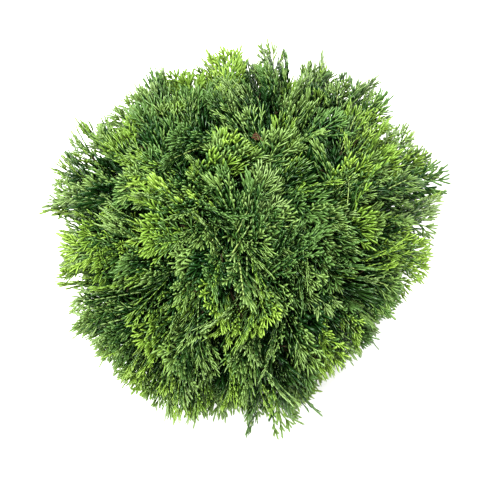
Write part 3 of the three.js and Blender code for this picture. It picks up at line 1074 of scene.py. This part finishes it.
line = bough_line(masses[0])
print("the top bough is", round(np.linalg.norm(np.diff(line, axis=0), axis=1).sum(), 3), "m long")

# %% [markdown]
# ## A limb
# A limb is a ring of edges that is extruded along its curve, as a modeller would do by hand. A
# frame at each point says where across, up and ahead are. It turns with the curve but never spins
# about it, or the bark would twist. Each corner keeps its place on the limb for the bark's pattern.

# %% Limbs
ASKEW = (0.3, 0.9, 0.1)  # a direction that no limb starts along


def frames(line):
    """Point, side, up and way at each point of a line."""
    ways = unit(np.gradient(line, axis=0))
    if line[0][2] == 0:
        ways[0] = Z_AXIS  # the stem's foot is cut level
    side = unit(np.cross(ways[0], ASKEW))
    made = []
    for point, way in zip(line, ways):
        side = unit(side - way * (side @ way))
        made.append((point, side, np.cross(way, side), way))
    return made


def grow_limb(bm, line, radii, sides):
    grain = bm.verts.layers.float_vector["grain"]
    length = 0
    before = None
    for k, (point, side, up, way) in enumerate(frames(line)):
        turn = Matrix(np.stack((side, up, way), axis=1).tolist()).to_4x4()
        here = Matrix.Translation(point) @ turn @ Matrix.Scale(radii[k], 4)
        if k == 0:
            ring = bmesh.ops.create_circle(bm, segments=sides, radius=1)["verts"]
            edges = list(dict.fromkeys(e for v in ring for e in v.link_edges))
            bmesh.ops.transform(bm, matrix=here, verts=ring)
            bmesh.ops.contextual_create(bm, geom=ring)
        else:
            length += np.linalg.norm(line[k] - line[k - 1])
            new = bmesh.ops.extrude_edge_only(bm, edges=edges)["geom"]
            ring = [v for v in new if isinstance(v, bmesh.types.BMVert)]
            edges = [e for e in new if isinstance(e, bmesh.types.BMEdge)]
            bmesh.ops.transform(bm, matrix=here @ before.inverted(), verts=ring)
        before = here
        for v in ring:
            out = v.co - Vector(point)
            v[grain] = (out.dot(Vector(side)), out.dot(Vector(up)), length)
    bmesh.ops.contextual_create(bm, geom=ring)


print("frames along the top bough:", len(frames(line)))

# %% [markdown]
# ## Stem and boughs
# The stem flares where it meets the ground, and each bough thins towards its tip. They stay one
# mesh, because they carry one bark.

# %% Grow the limbs
TRUNK_ENDS = (0.0105, 0.0042)  # radius at the foot and at the top
FLARE, FLARE_HEIGHT = 0.007, 0.013  # how far the foot widens, and the height at which that fades
TRUNK_RINGS, TRUNK_SIDES, BOUGH_SIDES = 97, 72, 12
BOUGH_RADII = (0.0029, 0.0021, 0.0016)  # at the stem, at the bough's tip and at the mass's heart

bm = bmesh.new()
grain = bm.verts.layers.float_vector.new("grain")
t = np.linspace(0, 1, TRUNK_RINGS)
trunk_radii = TRUNK_ENDS[0] + (TRUNK_ENDS[1] - TRUNK_ENDS[0]) * t
trunk_radii += FLARE * np.exp(-t * TRUNK_HEIGHT / FLARE_HEIGHT)
grow_limb(bm, bezier(TRUNK_CURVE, t), trunk_radii, TRUNK_SIDES)
# Past its tip a bough has two more points, up to the heart of its mass.
marks = (0, BOUGH_STEPS, BOUGH_STEPS + 2)
bough_radii = np.interp(np.arange(BOUGH_STEPS + 3), marks, BOUGH_RADII)
for mass in masses:
    grow_limb(bm, bough_line(mass), bough_radii, BOUGH_SIDES)
print("limbs:", len(bm.faces), "faces")


def corner_range(face):
    corners = [v.index for v in face.verts]
    return min(corners) * len(bm.verts) + max(corners)


# An extrusion lists its new faces in another order on each run, so they are put in order.
bm.verts.index_update()
bm.faces.sort(key=corner_range)

# %% [markdown]
# ## The bark's relief
# Bump only changes how light falls, and a limb's edge would stay smooth. So the larger ridges are
# real: each corner moves in or out by a noise that is drawn out along the limb like the pattern.

# %% Relief and bark piece
MOST_RELIEF = 0.0007
RELIEF_OF_RADIUS = 0.12  # a thin limb has shallower bark
FINE_SHARE, FINE_SCALE = 0.5, 2.1  # a second noise, weaker and finer than the first
FINE_SHIFT = Vector((7, 3, 1))  # so that the two noises don't line up at the limb's foot
SPLIT_SLOPE = 2.2  # how steeply the bark rises out of a split
UNMOVED = 0.6  # bark that stands out this far stays on the limb's smooth surface
GROUND_EDGE = 0.0005  # metres up to which the foot stays level on the ground


def fibres(place):
    """How far the bark stands out, from 0 in a split to 1 on a fibre."""
    at = Vector((place[0] / FIBRE, place[1] / FIBRE, place[2] / FIBRE / FIBRE_LENGTH))
    rough = noise.noise(at) + FINE_SHARE * noise.noise(at * FINE_SCALE + FINE_SHIFT)
    return 1 - min(1, abs(rough) * SPLIT_SLOPE)


bm.normal_update()
for v in bm.verts:
    if v.co.z > GROUND_EDGE:
        radius = math.hypot(v[grain][0], v[grain][1])
        most = min(MOST_RELIEF, RELIEF_OF_RADIUS * radius)
        v.co += v.normal * (fibres(v[grain]) - UNMOVED) * most
bmesh.ops.recalc_face_normals(bm, faces=bm.faces)
bark_mesh = bpy.data.meshes.new("bark")
bm.to_mesh(bark_mesh)
bm.free()
bark_mesh.materials.append(bark_material)
bark = add_object("bark", bark_mesh)
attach(bark, "root")
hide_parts("trunk", *["bough_" + mass["name"] for mass in masses])
print("bark", len(bark_mesh.polygons), "faces")

# %% [markdown]
# ## Slim bars
# Twigs and stalks are 1 to 3 mm thick, and there are thousands of them, so each is a bar with three
# sides that follows a curve. Curve objects would give them as well, but each would have to be
# turned into a mesh and joined, and arrays do all of them at once.

# %% Slim bars
OFF_ALL_TWIGS = (0.31, 0.17, 0.93)  # a direction that no twig starts along


def slim_bars(lines, radii, colour):
    """Three-sided bars, closed at both ends, along many lines with the same number of points."""
    count, steps = lines.shape[:2]
    ways = unit(np.gradient(lines, axis=1))
    side = unit(across(unit(np.cross(ways[:, :1], OFF_ALL_TWIGS)), ways))
    up = np.cross(ways, side)
    turns = np.arange(3) / 3 * 2 * math.pi
    ring = side[:, :, None] * np.cos(turns)[:, None] + up[:, :, None] * np.sin(turns)[:, None]
    corners = lines[:, :, None] + ring * radii[:, :, None, None]
    ids = np.arange(count * steps * 3).reshape(count, steps, 3)
    a, b = ids[:, :-1], ids[:, 1:]
    c, d = np.roll(b, -1, axis=2), np.roll(a, -1, axis=2)
    walls = [np.stack(corner, axis=-1).reshape(-1, 3) for corner in ((a, d, c), (a, c, b))]
    faces = np.concatenate((*walls, ids[:, 0, ::-1], ids[:, -1]))
    return corners.reshape(-1, 3), faces, np.full(len(faces), colour)


def curves(a, b, c, steps):
    """Curves from a to c that set out towards b."""
    t = (np.arange(steps + 1) / steps)[None, :, None]
    a, b, c = a[:, None], b[:, None], c[:, None]
    return a * (1 - t) ** 2 + 2 * b * t * (1 - t) + c * t**2


straight = curves(np.zeros((1, 3)), np.full((1, 3), 0.5), np.ones((1, 3)), 4)
print("a bar of four steps:", len(slim_bars(straight, np.ones((1, 5)), 0)[1]), "triangles")

# %% [markdown]
# ## Twigs and stalks
# Six twigs part at the heart of each mass, and a thin stalk leaves a twig for every spray. It
# leaves the twig below the spray and bends into the spray's own direction, as side shoots do, so no
# spray hangs in the air. Young twigs have smooth brown bark with little shine. The stalks are this
# year's growth, still green, with a thin wax that gives them a soft sheen.

# %% Courses of the stalks
TWIG_END = 0.81  # as a share of the way out
STALK_ANGLE = 1.1  # how far down the twig a stalk starts, against its distance from the twig
STALKS_FROM, STALKS_TO = 0.02, 0.97  # the shares of a twig between which stalks leave it
KNEE = 0.5  # how far below the spray a stalk bends, against its length
INTO_SPRAY = 0.003  # metres
STALK_STEPS = {"outer": 3, "inner": 2, "deep": 2}


def twig_ends(mass):
    return MIDDLE + mass["twig_ways"] * (mass["twig_far"] * TWIG_END)[:, None]


def stalk_lines(mass, layer):
    """A curve for the stalk of each spray, from its twig to its root."""
    places = mass[layer]
    root, along = places["root"], places["along"]
    foot, end = mass["heart"], twig_ends(mass)[places["twig"]]
    run = unit(end - foot)
    up_twig = np.sum((root - foot) * run, axis=1)
    off = np.linalg.norm(across(root - foot, run), axis=1)
    twig_length = np.linalg.norm(end - foot, axis=1)
    at = np.clip(up_twig - off * STALK_ANGLE, STALKS_FROM * twig_length, STALKS_TO * twig_length)
    leave = foot + run * at[:, None]
    knee = root - along * (KNEE * np.linalg.norm(root - leave, axis=1))[:, None]
    return curves(leave, knee, root + along * INTO_SPRAY, STALK_STEPS[layer])


print("stalks of the top mass's outer sprays:", len(stalk_lines(masses[0], "outer")))

# %% [markdown]
# ## The twig piece
# All the twigs and stalks become one mesh with two materials. It stands for the same solid masses
# as the sprays do, because those solids hold the whole foliage, wood and green together.

# %% Twig piece
TWIG_RADII = (0.0015, 0.0007)  # at the mass's heart and at the twig's end
STALK_RADIUS = 0.0007
TWIG_STEPS = 4
WOODY, GREEN = 0, 1

twig_materials = [
    plain_material("smooth_twig_bark", 0x3b3322, roughness=0.8, specular=0.3),
    plain_material("waxed_green_stalk", 0x4a6a2c, roughness=0.5),
]
twig_radii = np.repeat(np.linspace(*TWIG_RADII, TWIG_STEPS + 1)[None], TWIGS, axis=0)
parts = []
for mass in masses:
    ends = twig_ends(mass)
    heart = np.repeat(mass["heart"][None], TWIGS, axis=0)
    parts.append(slim_bars(curves(heart, (heart + ends) / 2, ends, TWIG_STEPS), twig_radii, WOODY))
    for layer in LAYERS:
        stalks = stalk_lines(mass, layer)
        parts.append(slim_bars(stalks, np.full(stalks.shape[:2], STALK_RADIUS), GREEN))
twigs = mesh_piece("twigs", *joined(parts), twig_materials)
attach(twigs, "root")
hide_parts(*["foliage_" + mass["name"] for mass in masses])

# %% [markdown]
# ## The floor
# The plant stands on a sheet of matt white card, as in a studio. Matt card scatters light evenly,
# so the eye sees no reflection in it, only a soft shadow.

# %% Floor
FLOOR_HALF_WIDTH = 6  # metres

bm = bmesh.new()
bmesh.ops.create_grid(bm, x_segments=1, y_segments=1, size=FLOOR_HALF_WIDTH)
floor_mesh = bpy.data.meshes.new("floor")
bm.to_mesh(floor_mesh)
bm.free()
white_card = plain_material("matt_white_card", 0xfafaf8, roughness=0.8, specular=0.2)
floor_mesh.materials.append(white_card)
floor = add_object("floor", floor_mesh)
floor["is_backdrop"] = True
print("floor", round(floor.dimensions.x), "m wide")

# %% [markdown]
# ## Light
# The main light hangs above the plant, a little towards the camera and to the left. It is large, so
# its shadows are soft, but it still leaves the gaps between the tufts dark. A weaker one behind the
# plant makes the far tips glisten, and a pale sky fills the shadows from all sides. The look adds
# contrast, as the processing of a photograph does.

# %% Lights
SKY_STRENGTH = 0.46


def soft_light(name, place, size, power):
    """A square soft light that faces the middle of the crown."""
    data = bpy.data.lights.new(name, "AREA")
    data.shape = "SQUARE"
    data.size = size
    data.energy = power
    light = add_object(name, data)
    light.location = place
    light.rotation_euler = (CROWN_MIDDLE - Vector(place)).to_track_quat("-Z", "Y").to_euler()
    print(name, power, "W")


soft_light("main_light", place=(-0.30, -0.52, 1.80), size=1.0, power=50)
soft_light("back_light", place=(0.32, 0.72, 1.30), size=0.7, power=13)
world = bpy.data.worlds.new("pale_sky")
world.use_nodes = True
sky = world.node_tree.nodes["Background"]
sky.inputs["Color"].default_value = (1, 1, 1, 1)
sky.inputs["Strength"].default_value = SKY_STRENGTH
bpy.context.scene.world = world
bpy.context.scene.view_settings.view_transform = "Standard"
bpy.context.scene.view_settings.look = "High Contrast"

# %% [markdown]
# ## Sizes
# The foliage has to stay within the solid model's box, apart from a few millimetres that soft tips
# may stand proud. Both boxes are written down, so that they can be compared after each change.

# %% Sizes
new_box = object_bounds()
[[list(map(float, corner)) for corner in box] for box in (cad_box, new_box)]
print("with its foliage", [round(side, 3) for side in new_box[1] - new_box[0]], "m")
